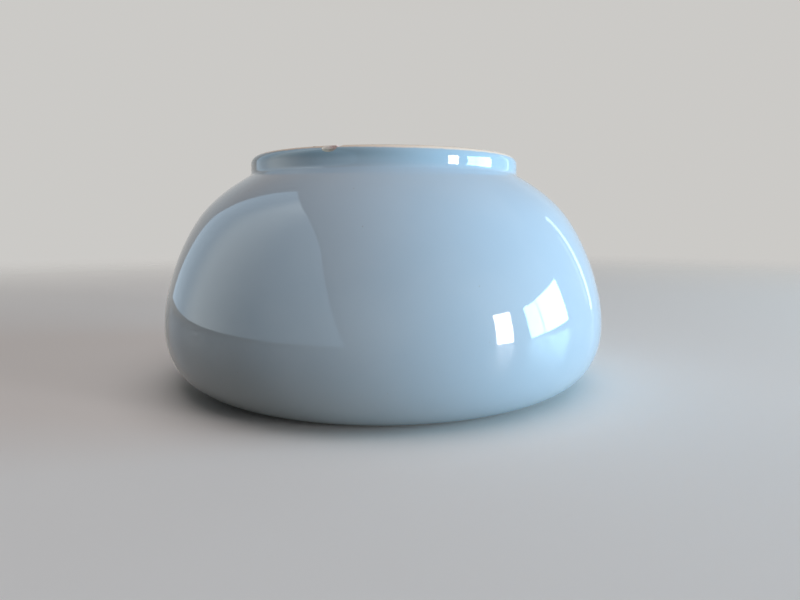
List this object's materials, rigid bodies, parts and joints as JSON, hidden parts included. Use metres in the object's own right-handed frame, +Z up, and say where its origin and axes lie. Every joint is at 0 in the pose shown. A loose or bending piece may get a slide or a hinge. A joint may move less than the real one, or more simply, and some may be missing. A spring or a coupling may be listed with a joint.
{
  "type": "round glazed pot",
  "caption": "Squat round-bellied ceramic pot, glazed pale blue, with a wide open mouth, a rolled rim with a small chip, and a flat resting ring.",
  "frame": {"origin": "centre of the resting ring, on the surface that the pot stands on", "axes": "+Z up along the axis of the turned body; -Y towards the viewer, who sees the chip a little to the left"},
  "size_m": [0.19, 0.19, 0.0965],
  "materials": {
    "blue_glaze": "high-gloss pale blue glaze over buff clay, thin at the lip, bare at the chip and on the resting ring"
  },
  "bodies": {
    "root": {"pot_body": "blue_glaze"}
  },
  "joints": []
}
